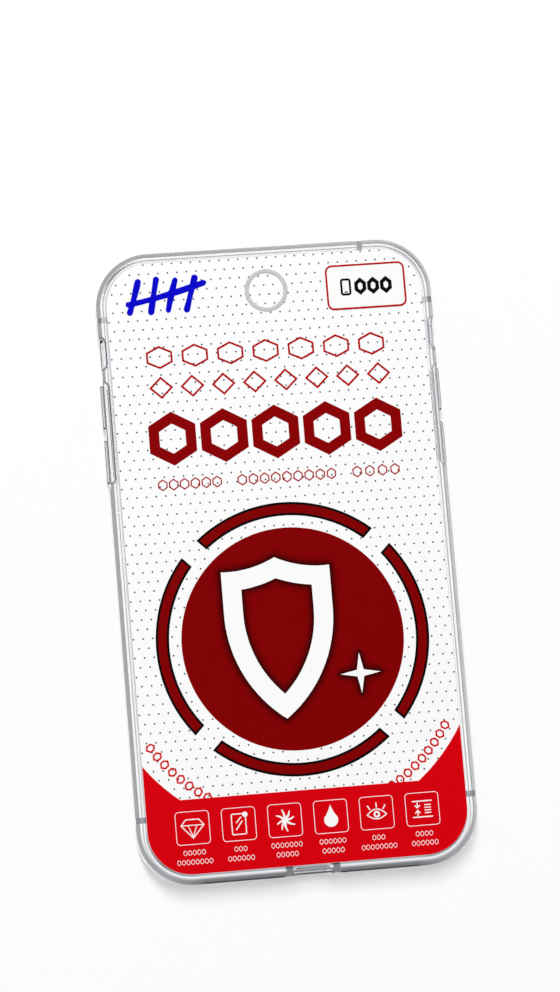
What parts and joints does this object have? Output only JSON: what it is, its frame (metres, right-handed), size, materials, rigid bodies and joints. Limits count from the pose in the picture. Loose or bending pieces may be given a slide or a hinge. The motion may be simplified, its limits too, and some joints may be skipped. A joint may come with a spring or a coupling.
{
  "type": "phone screen protector",
  "caption": "Tempered glass phone screen protector under a printed carrier sheet, in a clear moulded frame that fits over the phone to line it up.",
  "frame": {"origin": "middle of the footprint, on the plane that the frame's back edge rests on", "axes": "+X to the right seen from the front, +Y to the top edge, +Z out of the printed face"},
  "size_m": [0.0786, 0.145, 0.008],
  "materials": {
    "clear_plastic": "clear, polished, slightly grey at the edges",
    "white_film": "smooth white film with a satin sheen",
    "glass": "clear, polished",
    "liner_film": "frosted film",
    "label_paper": "coated white label paper",
    "red_ink": "satin print ink",
    "dark_red_ink": "satin print ink"
  },
  "bodies": {
    "root": {"alignment_frame": "clear_plastic", "printed_sheet": "white_film", "tempered_glass": "glass", "release_liner": "liner_film", "paper_label": "label_paper", "footer_print": "red_ink", "roundel_print": "dark_red_ink", "heading_print": "dark_red_ink"}
  },
  "joints": []
}
